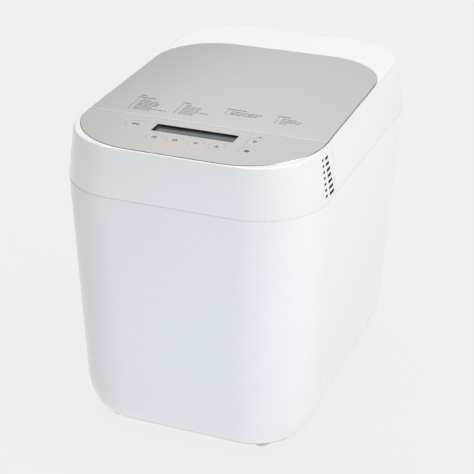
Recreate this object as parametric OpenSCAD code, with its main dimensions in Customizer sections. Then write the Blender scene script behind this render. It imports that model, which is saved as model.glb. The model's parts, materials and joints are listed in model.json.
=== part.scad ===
// Bread machine: a tall rounded housing with a hinged lid at the rear, a fixed control deck at the
// front, a heated chamber that holds a lift-out pan, and a belt drive under the chamber.
//
// Frame: millimetres, +Z up, front towards -Y, origin on the floor under the middle of the outline.
// Items on the sloping top are placed in "deck" coordinates: x, y from the housing's middle, and
// height above the slope of the top edge.

/* [Housing] */
// Width of the housing at the seam, its widest level
body_w = 281; // [275:1:290]
// Depth of the housing at the seam
body_d = 406; // [400:1:415]
// Height of the seam between the lower body and the upper shell
seam_h = 284; // [282:1:286]
// Height of the middle of the sloping top
top_mid_h = 344; // [342:1:348]
// Rise of the top from its front edge to its rear edge
top_rise = 12; // [8:1:14]
// Wall thickness of the plastic shells
wall = 2.6; // [2:0.2:3]
// Gap that shows as the dark seam line
seam_gap = 0.8; // [0.6:0.1:1]
// Height of the feet under the housing
foot_h = 5; // [4:0.5:6]
// How far the hinge knuckles stand out of the rear wall
hinge_proud = 6; // [5:0.5:6]

/* [Control deck] */
// Diameter of the round buttons
button_d = 17.6; // [16:0.2:18]
// Travel of every button
button_travel = 1.2; // [0.8:0.1:1.3]
// Distance between the buttons in the row of four
button_pitch = 22.6; // [21.5:0.1:24]
// Width of the display window
lcd_w = 89.6; // [84:0.2:92]
// Depth of the display window, front to back
lcd_d = 18.3; // [16:0.1:19]
// Number of vent slots in each of the two columns
vent_rows = 7; // [5:1:7]

/* [Chamber and pan] */
// Inner width of the heated chamber
chamber_w = 226; // [222:1:228]
// Inner depth of the heated chamber
chamber_d = 196; // [192:1:198]
// Width of the pan at its rim, outside
pan_w = 186; // [182:1:188]
// Depth of the pan at its rim, outside
pan_d = 136; // [132:1:138]
// Height of the pan's rim above the floor
pan_rim_h = 236; // [230:1:238]
// Length of the pan handle's arms, pivot to grip
handle_len = 70; // [68:0.5:71]

/* [Drive] */
// Pitch radius of the large pulley
pulley_r = 42; // [38:1:44]
// Number of teeth on the large pulley
pulley_teeth = 60; // [48:4:72]
// Number of teeth on the motor's pulley
pinion_teeth = 16; // [12:1:20]
// Radius of the drive shaft and the pan's shaft
shaft_r = 4; // [3.5:0.1:4.5]

/* [Hidden] */

$fn = 96;
hull_fn = 64;
far = 500;                                  // longer than anything it cuts
y_mid = -hinge_proud/2;                     // middle of the housing, so that the outline is centred

// Plans, each [half width, front y, rear y, front corner radius, rear corner radius], y from y_mid
base_plan = [body_w/2 - 8.3, -body_d/2 + 13.5, body_d/2 - 15.4, 70, 79];
seam_plan = [body_w/2, -body_d/2, body_d/2, 73, 52];
crease_plan = [body_w/2 - 7.3, -body_d/2 + 3.4, body_d/2 - 3.7, 67, 67];
panel_plan = [body_w/2 - 8.7, -body_d/2 + 5.7, body_d/2 - 74.2, 82, 73];

fillet_w = 19.4;                            // rounding at the foot of the walls, sideways
fillet_h = 42;                              // and upwards
crease_r = 3;                               // rounding of the top edge
top_tilt = atan(top_rise/(body_d - 7.1));

// Silver panels on the top
panel_t = 1.6;
panel_top = 0.5;                            // panel's face above the slope of the top edge
panel_split = -112.7;                       // deck y of the line between the two panels
panel_gap = 0.6;
pocket_gap = 0.3;
skin_low = panel_top - panel_t - 2.4;       // underside of the shell below a panel
housing_rear = -106.6;                      // rear face of the fixed upper shell
lid_front = -106;                           // front face of the lid's shell

// Controls, in deck coordinates
row_x = -35.6;
row_y = -160.5;
side_y = -135.8;
right_x = 64;
select_x = -67.5;
select_stretch = 2.2;                       // the first button is this much longer each way
lcd_x = -1.3;
lcd_y = -136.7;
led_x = 64.8;
led_y = -124.2;
led_r = 1.1;
button_r = button_d/2;
button_clear = 0.3;
flange_r = button_r + 0.8;
cap_low = skin_low - 1.1;                   // underside of a button's cap
lens_top = -2.3;
board_z = -16;
board_t = 1.6;
stem_low = -9.2;
switch_top = stem_low - button_travel - 0.2;

// Vent slots in the right side of the fixed upper shell
vent_low = 290.6;
vent_pitch = 6.35;
vent_h = 3.2;
vent_short = [-135.1, 6.2];                 // lowest short slot: y of its middle, and length
vent_long = [-126.2, 14.4];                 // lowest long slot: y where it starts, and length

// Chamber, pan and drive share one upright axis
axis_y = 37;
chamber_r = 36;
chamber_t = 1.5;
chamber_floor = 81.5;
deck_low = 278;
deck_t = 3;
deck_top = deck_low + deck_t;
element_z = 104;
element_r = 3.25;
element_end = 16;                           // x of the element's two ends
flange_t = 1.2;                             // rim of the chamber, which lies on the deck
sensor_spot = [-62, 160];                   // x and z of the temperature sensor
bearing_r = 12;                             // neck of the drive bearing
bearing_body_r = 16;
pan_floor = 104;
pan_t = 1.6;
pan_base_r = 48;
pan_base_low = 82;
bush_r = 8;
wing_low = 92;                              // lower end of the pan's shaft
pivot_z = pan_rim_h - 8;
handle_rise = 13.6;                         // handle's angle above level when it is folded down
arm_x = pan_w/2 + 7.5;
run_clear = 0.05;                           // running clearance of a shaft in its bush
screw_hole = 1.6;                           // radius of the clearance holes for all the screws

// Belt drive
belt_z = 22;
belt_w = 10;
belt_t = 1.6;
belt_clear = 0.3;
pinion_r = pulley_r*pinion_teeth/pulley_teeth;
motor_y = -118;
motor_r = 34;
motor_low = 42;
motor_shaft_r = 3;

// Lid hinge at the rear, level with the seam
hinge_y = y_mid + body_d/2 + 1;
hinge_r = 5;
hinge_pin_r = 2;
hinge_x = 70;
leaf_half = 10;
ear_w = 9.5;
ear_gap = 0.5;

power_y = -172;
ribbon_w = 20;
ribbon_y = -165;
inlet_x = -30;
inlet_z = 74;
inlet_w = 28;
inlet_h = 20;
rear_lean = atan(15.4/(seam_h - foot_h));    // the rear wall leans out by this angle

// ---------------------------------------------------------------- shared shapes

function mix(a, b, u) = a + (b - a)*u;
function mix_plan(p, q, u) = [for (i = [0:4]) mix(p[i], q[i], u)];
function inset(p, d) = [p[0] - d, p[1] + d, p[2] - d, max(p[3] - d, 1), max(p[4] - d, 1)];
function side_level(z) = (z - foot_h)/(seam_h - foot_h);
function deck_z(y) = top_mid_h + (y - y_mid)*tan(top_tilt);

// Rounded outline [half width, front, rear, front radius, rear radius] made of arcs and straights
module outline(p, fn = $fn) {
    mid = (p[1] + p[3] + p[2] - p[4])/2;
    for (side = [-1, 1]) {
        translate([side*(p[0] - p[3]), p[1] + p[3]]) circle(p[3], $fn = fn);
        translate([side*(p[0] - p[4]), p[2] - p[4]]) circle(p[4], $fn = fn);
    }
    translate([-p[0], p[1] + p[3]]) square([2*p[0], p[2] - p[1] - p[3] - p[4]]);
    translate([-p[0] + p[3], p[1]]) square([2*(p[0] - p[3]), mid - p[1]]);
    translate([-p[0] + p[4], mid]) square([2*(p[0] - p[4]), p[2] - mid]);
}

// Rounded rectangle about its own middle
module pad(w, d, r) {
    outline([w/2, -d/2, d/2, r, r]);
}

module ring_frame(w, d, r, t) {
    difference() {
        pad(w, d, r);
        pad(w - 2*t, d - 2*t, max(r - t, 1));
    }
}

// A very thin level slice of the housing, for hulls
module slice(p, z) {
    translate([0, y_mid, z]) linear_extrude(0.01) outline(p, hull_fn);
}

module on_deck(dz = 0) {
    translate([0, y_mid, top_mid_h]) rotate([top_tilt, 0, 0]) translate([0, 0, dz]) children();
}

module at_axis(z = 0) {
    translate([0, axis_y, z]) children();
}

module tube(r, bore, h) {
    difference() {
        cylinder(r = r, h = h);
        translate([0, 0, -1]) cylinder(r = bore, h = h + 2);
    }
}

// Pan-head screw with its head's underside at the origin and its shank towards -Z
module screw(r = 1.5, head = 3.4, len = 10) {
    difference() {
        union() {
            cylinder(r = head, h = 1.6);
            translate([0, 0, -len]) cylinder(r = r, h = len + 0.1);
        }
        translate([-head*0.6, -0.3, 1]) cube([head*1.2, 0.6, 1]);
        translate([-0.3, -head*0.6, 1]) cube([0.6, head*1.2, 1]);
    }
}

// Outside of the lower body, pulled in by d on every side
module lower_form(d) {
    hull() {
        for (a = [0, 22.5, 45, 67.5, 90]) {
            z = foot_h + d + fillet_h*(1 - cos(a));
            plan = mix_plan(base_plan, seam_plan, side_level(z));
            slice(inset(plan, d + fillet_w*(1 - sin(a))), z);
        }
        slice(inset(seam_plan, d), seam_h - 0.01 + (d > 0 ? 1 : 0));
    }
}

// Outside of the upper shell, pulled in by d on every side but the open bottom
module upper_form(d) {
    hull() {
        slice(inset(seam_plan, d), seam_h + seam_gap - (d > 0 ? 1 : 0));
        for (a = [0, 30, 60, 90])
            on_deck(-d - crease_r*(1 - sin(a)))
                linear_extrude(0.01) outline(inset(crease_plan, d + crease_r*(1 - cos(a))), hull_fn);
    }
}

// Everything in front of (side -1) or behind (side 1) a given y
module half_space(y, side) {
    translate([-far/2, side > 0 ? y : y - far, -10]) cube([far, far, far]);
}

module panel_pocket() {
    on_deck(panel_top - panel_t)
        linear_extrude(20) outline(inset(panel_plan, -pocket_gap));
}

// Clearance through a shell wall for the whole hinge
module hinge_notch(low, high) {
    for (side = [-1, 1])
        translate([side*hinge_x - leaf_half - ear_w - 1.5, hinge_y - 9, low])
            cube([2*(leaf_half + ear_w + 1.5), 16, high - low]);
}

// ---------------------------------------------------------------- housing

// Placed with y = 0 on the outside of the rear wall at the inlet, y outwards
module at_inlet() {
    rear = y_mid + mix(base_plan[2], seam_plan[2], side_level(inlet_z));
    translate([inlet_x, rear, inlet_z]) rotate([-rear_lean, 0, 0]) children();
}

foot_spots = [for (x = [-84, 84], y = [-159, 138]) [x, y]];
case_spots = [for (x = [-92, 92], y = [-120, 0, 95]) [x, y]];
case_post_h = 16;
floor_rim = 24;                             // width of the lower body's floor, inside its rounded foot
plate_t = 1.6;                              // thickness of the base plate

module lower_body() color("white") {
    difference() {
        union() {
            difference() {
                lower_form(0);
                lower_form(wall);
            }
            for (s = case_spots) translate([s[0], s[1], foot_h + 1]) cylinder(r = 5, h = case_post_h);
        }
        translate([0, y_mid, foot_h - 1]) linear_extrude(wall + 3)
            outline(inset(base_plan, fillet_w + floor_rim));
        for (s = case_spots) translate([s[0], s[1], foot_h - 1]) cylinder(r = screw_hole, h = case_post_h);
        hinge_notch(seam_h - 5.6, seam_h + 5);
        at_inlet() translate([-inlet_w/2 - 0.2, -20, -inlet_h/2 - 0.2])
            cube([inlet_w + 0.4, 30, inlet_h + 0.4]);
    }
}

module base_plate() color("gainsboro") {
    slot = [4, 42, 10];
    difference() {
        translate([0, y_mid, foot_h - plate_t]) linear_extrude(plate_t)
            outline(inset(base_plan, fillet_w + 2));
        for (s = case_spots) translate([s[0], s[1], 0]) cylinder(r = screw_hole, h = 10);
        for (i = [-5:5], y = [-155, 96]) translate([i*11 - slot[0]/2, y, 0]) cube(slot);
    }
}

module rubber_feet() color("dimgray") {
    for (s = foot_spots) translate([s[0], s[1], 0]) {
        cylinder(r = 9, h = 1.2);
        translate([0, 0, 1.2]) cylinder(r = 10, h = foot_h - plate_t - 1.2);
    }
}

module case_screws() color("silver") {
    for (s = case_spots) translate([s[0], s[1], foot_h - plate_t]) mirror([0, 0, 1]) screw(len = 13);
}

// The openings through the deck's skin that the panel and the shell share
module control_openings() {
    on_deck(-10) linear_extrude(20) {
        for (i = [0:3]) translate([row_x + i*button_pitch, row_y]) circle(button_r + button_clear);
        for (y = [side_y, row_y]) translate([right_x, y]) circle(button_r + button_clear);
        translate([select_x, side_y]) stadium(button_r + button_clear);
        translate([lcd_x, lcd_y]) pad(lcd_w, lcd_d, 1.5);
        translate([led_x, led_y]) circle(led_r + 0.2);
    }
}

// Round outline that is stretched sideways
module stadium(r) {
    for (side = [-1, 1]) translate([side*select_stretch, 0]) circle(r);
    translate([-select_stretch, -r]) square([2*select_stretch, 2*r]);
}

module vent_slots() {
    inner_x = 100;
    reach = 60;
    short_h = vent_h - 0.4;
    short_lift = 1.5;
    for (i = [0:vent_rows - 1]) {
        z = vent_low + i*vent_pitch;
        short = vent_short[1] - 0.3*i;
        long = vent_long[1] - 0.9*i;
        translate([inner_x, vent_short[0] - 0.18*i - short/2, z + short_lift - short_h/2])
            cube([reach, short, short_h]);
        translate([inner_x, vent_long[0] - 0.5*i, z - vent_h/2]) cube([reach, long, vent_h]);
    }
}

board_posts = [for (x = [-85, 85], y = [-176, -128]) [x, y]];
board_hole = 1.2;

module control_housing() color("white") {
    difference() {
        union() {
            difference() {
                upper_form(0);
                intersection() {
                    upper_form(wall);
                    half_space(housing_rear - wall, -1);
                }
                half_space(housing_rear, 1);
                panel_pocket();
            }
            on_deck(board_z + board_t) linear_extrude(skin_low - board_z - board_t + 0.2)
                for (s = board_posts) translate(s) circle(3);
            // The skin that carries the panel, under its pocket
            on_deck(skin_low) linear_extrude(panel_top - panel_t - skin_low) intersection() {
                outline(inset(panel_plan, 1));
                translate([-far/2, -far]) square([far, far + housing_rear - 1 - y_mid]);
            }
        }
        control_openings();
        // Room for the front of the lid's panel, which reaches over the fixed shell
        on_deck(panel_top - panel_t - 0.5) linear_extrude(5) intersection() {
            outline(inset(panel_plan, -pocket_gap));
            translate([-far/2, panel_split - panel_gap/2]) square(far);
        }
        on_deck(board_z) linear_extrude(10)
            for (s = board_posts) translate(s) circle(board_hole);
        vent_slots();
    }
}

module control_panel() color("tan") {
    difference() {
        on_deck(panel_top - panel_t) linear_extrude(panel_t) intersection() {
            outline(panel_plan);
            translate([-far/2, panel_split - panel_gap/2 - far]) square(far);
        }
        control_openings();
    }
}

module lcd_lens() color([0.25, 0.3, 0.33]) {
    on_deck() translate([lcd_x, lcd_y, 0]) {
        translate([0, 0, skin_low - 0.05]) linear_extrude(lens_top - skin_low + 0.05)
            pad(lcd_w - 0.2, lcd_d - 0.2, 1.4);
        translate([0, 0, skin_low - 1.5]) linear_extrude(1.45) pad(lcd_w + 4, lcd_d + 3.6, 1.5);
    }
}

module lcd_module() color("darkslategray") {
    low = skin_low - 5.8;
    board_top = board_z + board_t;
    on_deck() translate([lcd_x, lcd_y, 0]) {
        translate([0, 0, low]) linear_extrude(4.2) pad(92, 24, 1);
        // Legs that stand on the control board
        for (i = [-7:7]) translate([i*5.2 - 0.4, 8, board_top]) cube([0.8, 0.8, low - board_top + 0.1]);
    }
}

module control_board() color("darkgreen") {
    on_deck(board_z) difference() {
        linear_extrude(board_t) translate([0, -153]) pad(180, 60, 3);
        for (s = board_posts) translate([s[0], s[1], -1]) cylinder(r = board_hole, h = 4);
    }
}

button_spots = concat([[select_x, side_y]],
    [for (i = [0:3]) [row_x + i*button_pitch, row_y]],
    [[right_x, side_y], [right_x, row_y]]);

module tact_switches() color("dimgray") {
    low = board_z + board_t;
    for (s = button_spots) on_deck(low) translate([s[0], s[1], 0]) {
        translate([-3, -3, 0]) cube([6, 6, 2.6]);
        cylinder(r = 1.7, h = switch_top - low);
    }
}

module status_led() color("orangered") {
    low = board_z + board_t;
    on_deck(low) translate([led_x, led_y, 0]) {
        translate([-1.6, -1.6, 0]) cube([3.2, 3.2, 1.6]);
        cylinder(r = led_r, h = panel_top - low - 0.1);
    }
}

// Louvred plate behind the slots, leaning in as the side wall does
module vent_baffle() color("black") {
    size = [1.6, 32.4, 44];
    lean = 7.3;
    translate([135.2, -143, 289.4]) rotate([0, -lean, 0]) translate([-size[0], 0, 0]) difference() {
        cube(size);
        for (i = [0:6]) translate([-1, 3, 4 + i*6]) cube([size[0] + 2, size[1] - 6, 1.2]);
    }
}

// ---------------------------------------------------------------- chamber and heating

chamber_spots = [for (x = [-1, 1], y = [-52, 52]) [x*(chamber_w/2 + 5), y]];

module top_deck() color("whitesmoke") {
    lip = 8;
    lip_gap = wall + 1.8;
    lip_t = 2;
    difference() {
        translate([0, y_mid, 0]) {
            translate([0, 0, deck_low]) linear_extrude(deck_t) outline(inset(seam_plan, wall + 0.8));
            translate([0, 0, deck_top - 0.1]) linear_extrude(lip) difference() {
                outline(inset(seam_plan, lip_gap));
                outline(inset(seam_plan, lip_gap + lip_t));
            }
        }
        at_axis(deck_low - 1) linear_extrude(10)
            pad(chamber_w + 2*chamber_t + 2, chamber_d + 2*chamber_t + 2, chamber_r + 2);
        hinge_notch(deck_top + 0.5, deck_top + 20);
        hinge_notch(deck_low - 6, deck_low + 20);
        for (s = chamber_spots) at_axis() translate([s[0], s[1], deck_low - 1])
            cylinder(r = screw_hole, h = 8);
        // Slot for the ribbon cable
        translate([-ribbon_w/2 - 3, ribbon_y - 1.5, deck_low - 1]) cube([ribbon_w + 6, 5, 8]);
        // The lip stops where the walls between the fixed shell and the lid cross it
        translate([-far/2, housing_rear - wall - 1.5, deck_top + 0.01]) cube([far, 2*wall + 3.6, 12]);
    }
}

module oven_chamber() color("silver") {
    w = chamber_w;
    d = chamber_d;
    difference() {
        union() {
            at_axis(chamber_floor - chamber_t)
                linear_extrude(deck_top + flange_t - chamber_floor + chamber_t)
                    pad(w + 2*chamber_t, d + 2*chamber_t, chamber_r + chamber_t);
            at_axis(deck_top) linear_extrude(flange_t) pad(w + 18, d + 18, chamber_r + 9);
        }
        at_axis(chamber_floor) linear_extrude(300) pad(w, d, chamber_r);
        at_axis(chamber_floor - 5) cylinder(r = bearing_r + 0.3, h = 10);
        for (x = [-element_end, element_end]) translate([x, axis_y - d/2 + 5, element_z]) rotate([90, 0, 0])
            cylinder(r = element_r + 0.3, h = 12);
        translate([sensor_spot[0], axis_y - d/2 + 5, sensor_spot[1]]) rotate([90, 0, 0])
            cylinder(r = 3.4, h = 12);
        for (s = chamber_spots) at_axis(deck_top - 1) translate([s[0], s[1], 0])
            cylinder(r = screw_hole, h = 8);
    }
}

module heat_shield() color("lightgray") {
    difference() {
        at_axis(84) linear_extrude(186) ring_frame(chamber_w + 16, chamber_d + 16, chamber_r + 6, 0.8);
        translate([-75, axis_y - chamber_d/2 - 20, 92]) cube([100, 25, 80]);
    }
}

module chamber_screws() color("silver") {
    for (s = chamber_spots) at_axis(deck_top + flange_t) translate([s[0], s[1], 0]) screw(len = 9);
}

// Rod bent into a rounded open loop; both ends leave through the chamber's front wall
module heating_element() color("dimgray") {
    hx = chamber_w/2 - 10;
    hy = chamber_d/2 - 13;
    r = 22;
    end_r = 9;
    at_axis(element_z) {
        for (sx = [-1, 1]) {
            for (sy = [-1, 1])
                translate([sx*(hx - r), sy*(hy - r), 0])
                    rotate([0, 0, sx > 0 ? (sy > 0 ? 0 : -90) : (sy > 0 ? 90 : 180)]) rod_bend(r);
            translate([sx*hx, -(hy - r), 0]) rotate([-90, 0, 0]) rod(2*(hy - r));
            translate([sx*(element_end + end_r), -hy, 0]) rotate([0, sx*90, 0])
                rod(hx - r - element_end - end_r);
            translate([sx*(element_end + end_r), -hy - end_r, 0]) rotate([0, 0, sx > 0 ? 90 : 0])
                rod_bend(end_r);
            translate([sx*element_end, -hy - end_r, 0]) rotate([90, 0, 0]) rod(14);
        }
        translate([-(hx - r), hy, 0]) rotate([0, 90, 0]) rod(2*(hx - r));
    }
}

module rod(len) {
    cylinder(r = element_r, h = len, $fn = 32);
}

module rod_bend(r) {
    rotate_extrude(angle = 90) translate([r, 0]) circle(element_r, $fn = 32);
}

// Blocks between the element and the chamber's side walls
module element_clips() color("silver") {
    inner = chamber_w/2 - 10 + element_r + 0.1;
    size = [chamber_w/2 - inner - 0.05, 10, 12];
    for (side = [-1, 1], y = [-35, 35]) at_axis(element_z)
        translate([side > 0 ? inner : -inner - size[0], y - size[1]/2, -size[2]/2]) cube(size);
}

module temperature_sensor() color("silver") {
    translate([sensor_spot[0], axis_y - chamber_d/2 + 9, sensor_spot[1]]) rotate([90, 0, 0]) {
        cylinder(r = 3, h = 26);
        translate([0, 0, 9 + chamber_t + 0.1]) cylinder(r = 6.5, h = 4, $fn = 6);
        translate([0, 0, 5]) cylinder(r = 5, h = 3.9);
    }
}

module thermal_fuse() color("saddlebrown") {
    translate([40, axis_y - chamber_d/2 - chamber_t - 1.4, 120]) {
        translate([-11, 0, 0]) rotate([0, 90, 0]) cylinder(r = 1.3, h = 22);
        translate([-6, -1.2, 0]) rotate([0, 90, 0]) cylinder(r = 2.4, h = 12);
    }
}

module pan_clips() color("silver") {
    gap = pan_base_r + 1;
    w = 18;
    for (side = [-1, 1]) at_axis(chamber_floor) {
        translate([side > 0 ? gap : -gap - 1, -w/2, 0]) cube([1, w, 17]);
        translate([side > 0 ? gap : -gap - 9, -w/2, 0]) cube([9, w, 1]);
    }
}

// ---------------------------------------------------------------- chassis and drive

module chassis() color("lightsteelblue") {
    plate_z = 56;
    motor_z = motor_low - 2;
    sheet = 2;
    front = motor_y - 45;
    difference() {
        union() {
            // Plate under the chamber, and the posts that the chamber stands on
            at_axis(plate_z) linear_extrude(sheet) pad(212, 172, 14);
            for (x = [-74, 74], y = [-56, 56]) at_axis(foot_h) translate([x, y, 0])
                tube(6, screw_hole, chamber_floor - chamber_t - foot_h);
            // Plate that the motor hangs from
            translate([-50, front, motor_z]) cube([100, 128, sheet]);
            translate([-64, front, motor_z]) cube([128, 12, sheet]);
            for (x = [-42, 42]) translate([x, motor_y - 24, foot_h]) tube(5, screw_hole, motor_z - foot_h);
            for (x = [-44, 42]) translate([x, -45, motor_z]) cube([sheet, 10, plate_z - motor_z + 1]);
            // Uprights that carry the power board
            for (x = [-60, 60]) translate([x - 4, power_y - 3.6, motor_z]) {
                cube([8, 3.4, 190]);
                cube([8, 14, sheet]);
            }
        }
        at_axis(plate_z - 20) cylinder(r = bearing_body_r + 0.3, h = 30);
        translate([0, motor_y, motor_z - 1]) cylinder(r = 12.3, h = 5);
        for (x = [-21, 21], y = [-21, 21]) translate([x, motor_y + y, motor_z - 1]) cylinder(r = 2.1, h = 5);
    }
}

module drive_bearing() color("darkgray") {
    difference() {
        at_axis() {
            translate([0, 0, 44]) cylinder(r = bearing_body_r, h = chamber_floor - chamber_t - 44);
            translate([0, 0, 58]) cylinder(r = 24, h = 4);
            translate([0, 0, 70]) cylinder(r = bearing_r, h = 14);
        }
        at_axis(40) cylinder(r = shaft_r + run_clear, h = 60);
    }
}

module drive_shaft() color("silver") {
    at_axis() {
        translate([0, 0, 14]) cylinder(r = shaft_r, h = 76);
        translate([0, 0, 41]) cylinder(r = 6, h = 2);
    }
}

// Toothed pulley with flanges, a hub and lightening holes
module toothed_pulley(r, teeth, bore) {
    groove = PI*r/teeth/2;
    difference() {
        cylinder(r = r, h = belt_w);
        for (i = [0:teeth - 1]) rotate([0, 0, i*360/teeth]) translate([r - 0.9, -groove/2, -1])
            cube([3, groove, belt_w + 2]);
        translate([0, 0, -1]) cylinder(r = bore, h = belt_w + 2);
    }
}

module drive_pulley() color("ivory") {
    at_axis(belt_z) {
        difference() {
            toothed_pulley(pulley_r, pulley_teeth, shaft_r);
            for (i = [0:5]) rotate([0, 0, i*60]) translate([24, 0, -1]) cylinder(r = 8, h = belt_w + 2);
        }
        translate([0, 0, belt_w]) difference() {
            cylinder(r = 10, h = 8);
            translate([0, 0, -1]) cylinder(r = shaft_r, h = 10);
        }
        translate([0, 0, -1.2]) difference() {
            cylinder(r = pulley_r + 3, h = 1);
            translate([0, 0, -1]) cylinder(r = 30, h = 3);
        }
        translate([0, 0, -0.3]) difference() {
            cylinder(r = pulley_r - 2, h = 0.4);
            translate([0, 0, -1]) cylinder(r = 33, h = 3);
        }
    }
}

module drive_coupler() color("gray") {
    at_axis(85) {
        difference() {
            cylinder(r = 16, h = 5);
            translate([0, 0, -1]) cylinder(r = shaft_r, h = 8);
        }
        for (side = [-1, 1]) translate([-4, side > 0 ? 8 : -14, 4.9]) cube([8, 6, 8.1]);
    }
}

module drive_belt() color("black") {
    translate([0, 0, belt_z + 0.4]) linear_extrude(belt_w - 0.8) difference() {
        belt_path(belt_clear + belt_t);
        belt_path(belt_clear);
    }
}

module belt_path(grow) {
    hull() {
        translate([0, axis_y]) circle(pulley_r + grow, $fn = 96);
        translate([0, motor_y]) circle(pinion_r + grow, $fn = 48);
    }
}

module drive_motor() color("slategray") {
    can_h = 62;
    translate([0, motor_y, motor_low]) difference() {
        union() {
            cylinder(r = motor_r, h = can_h);
            translate([0, 0, -2]) cylinder(r = 12, h = 3);
            translate([0, 0, can_h - 1]) cylinder(r = 11, h = 5);
        }
        translate([0, 0, -5]) cylinder(r = motor_shaft_r + run_clear, h = 90);
        for (i = [0:7]) rotate([0, 0, i*45]) translate([motor_r - 4, -3, 12]) cube([8, 6, 36]);
    }
}

module motor_pulley() color("silver") {
    translate([0, motor_y, 0]) {
        bore = motor_shaft_r;
        translate([0, 0, 15]) cylinder(r = bore, h = 108);
        translate([0, 0, belt_z]) toothed_pulley(pinion_r, pinion_teeth, bore);
        for (z = [belt_z - 1.4, belt_z + belt_w + 0.4]) translate([0, 0, z]) tube(pinion_r + 2.5, bore, 1);
        for (z = [belt_z - 0.5, belt_z + belt_w - 0.1]) translate([0, 0, z]) tube(pinion_r - 1.2, bore, 0.6);
    }
}

module cooling_fan() color("dimgray") {
    translate([0, motor_y, 110]) {
        tube(8, motor_shaft_r, 12);
        for (i = [0:8]) rotate([0, 0, i*40]) translate([7.5, -0.6, 1]) rotate([35, 0, 0])
            cube([22, 1.2, 12]);
    }
}

// ---------------------------------------------------------------- electrics

module power_board() color("darkgreen") {
    translate([-70, power_y, 128]) cube([140, 1.6, 106]);
}

module board_components() color("royalblue") {
    y = power_y + 1.6;
    translate([-60, y, 140]) cube([38, 30, 34]);
    translate([-12, y, 138]) cube([20, 15, 26]);
    translate([20, y, 150]) rotate([-90, 0, 0]) cylinder(r = 9, h = 28);
    translate([44, y, 150]) rotate([-90, 0, 0]) cylinder(r = 9, h = 28);
    translate([18, y, 176]) cube([44, 22, 20]);
    translate([-55, y, 190]) cube([24, 18, 14]);
    translate([-14, y, 212]) cube([28, 4, 8]);
}

module ribbon_cable() color("lightgray") {
    low = 220;
    high = deck_z(-164) + board_z - 0.5;
    plug = [ribbon_w + 4, 4.7];
    translate([-ribbon_w/2, ribbon_y + 0.4, low]) cube([ribbon_w, 1, high - low]);
    translate([-plug[0]/2, ribbon_y - 1.3, low - 8]) cube([plug[0], plug[1], 8]);
    translate([-plug[0]/2, ribbon_y - 1.6, high - 6]) cube([plug[0], plug[1] + 0.3, 6]);
}

module mains_inlet() color("black") {
    at_inlet() difference() {
        union() {
            translate([-inlet_w/2, -26, -inlet_h/2]) cube([inlet_w, 28, inlet_h]);
            translate([-inlet_w/2 - 9, 0.2, -inlet_h/2 - 2]) cube([inlet_w + 18, 2.4, inlet_h + 4]);
        }
        translate([-inlet_w/2 + 2, -18, -inlet_h/2 + 2]) cube([inlet_w - 4, 30, inlet_h - 4]);
        for (x = [-8, 0, 8]) translate([x - 1.1, -30, pin_low(x) - 0.1]) cube([2.2, 20, 4.2]);
        for (side = [-1, 1]) translate([side*19, -1, 0]) rotate([-90, 0, 0]) cylinder(r = 1.7, h = 6);
    }
}

// The middle pin of the inlet stands higher than the outer two
function pin_low(x) = x == 0 ? 1 : -4;

module inlet_pins() color("gold") {
    at_inlet() for (x = [-8, 0, 8]) translate([x - 1, -32, pin_low(x)]) cube([2, 24, 4]);
}

// ---------------------------------------------------------------- lid and hinge

module hinge_brackets() color("darkgray") {
    for (side = [-1, 1], end = [-1, 1])
        translate([side*hinge_x + end*(leaf_half + ear_gap + ear_w/2) - ear_w/2, 0, 0]) difference() {
            union() {
                translate([0, hinge_y, seam_h]) rotate([0, 90, 0]) cylinder(r = hinge_r, h = ear_w);
                translate([0, hinge_y - 8.6, seam_h - 5]) cube([ear_w, 8.6, 4.6]);
                translate([0, hinge_y - 8.6, seam_h - 26]) cube([ear_w, 3, 22]);
            }
            translate([-1, hinge_y, seam_h]) rotate([0, 90, 0]) cylinder(r = hinge_pin_r, h = ear_w + 2);
        }
}

module hinge_pins() color("silver") {
    half = leaf_half + ear_gap + ear_w;
    for (side = [-1, 1]) translate([side*hinge_x - half, hinge_y, seam_h]) rotate([0, 90, 0])
        cylinder(r = hinge_pin_r, h = 2*half);
}

module hinge_leaves() color("darkgray") {
    for (side = [-1, 1]) translate([side*hinge_x - leaf_half, 0, 0]) difference() {
        union() {
            translate([0, hinge_y, seam_h]) rotate([0, 90, 0]) cylinder(r = hinge_r, h = 2*leaf_half);
            translate([0, hinge_y - 10.5, seam_h + 0.6]) cube([2*leaf_half, 10.5, 4]);
            translate([0, hinge_y - 10.5, seam_h + 0.6]) cube([2*leaf_half, 4, 34]);
        }
        translate([-1, hinge_y, seam_h]) rotate([0, 90, 0])
            cylinder(r = hinge_pin_r + run_clear, h = 2*leaf_half + 2);
    }
}

lid_spots = [for (side = [-1, 1], s = [[125, -70], [125, 30], [108, 156]]) [side*s[0], s[1]]];

module lid_cover() color("white") {
    difference() {
        union() {
            difference() {
                upper_form(0);
                intersection() {
                    upper_form(wall);
                    half_space(lid_front + wall, 1);
                }
                half_space(lid_front, -1);
                panel_pocket();
            }
            on_deck(skin_low) linear_extrude(panel_top - panel_t - skin_low) intersection() {
                outline(inset(panel_plan, 1));
                translate([-far/2, lid_front + 1 - y_mid]) square(far);
            }
            for (s = lid_spots) translate([s[0], s[1], seam_h + 4.6])
                cylinder(r = 4, h = deck_z(s[1]) + skin_low - seam_h - 3);
        }
        for (s = lid_spots) translate([s[0], s[1], seam_h]) cylinder(r = screw_hole, h = 16);
        hinge_notch(seam_h - 5, seam_h + 5.8);
    }
}

module lid_panel() color("silver") {
    on_deck(panel_top - panel_t) linear_extrude(panel_t) intersection() {
        outline(panel_plan);
        translate([-far/2, panel_split + panel_gap/2]) square(far);
    }
}

lid_low = seam_h + 2.4;

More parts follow.
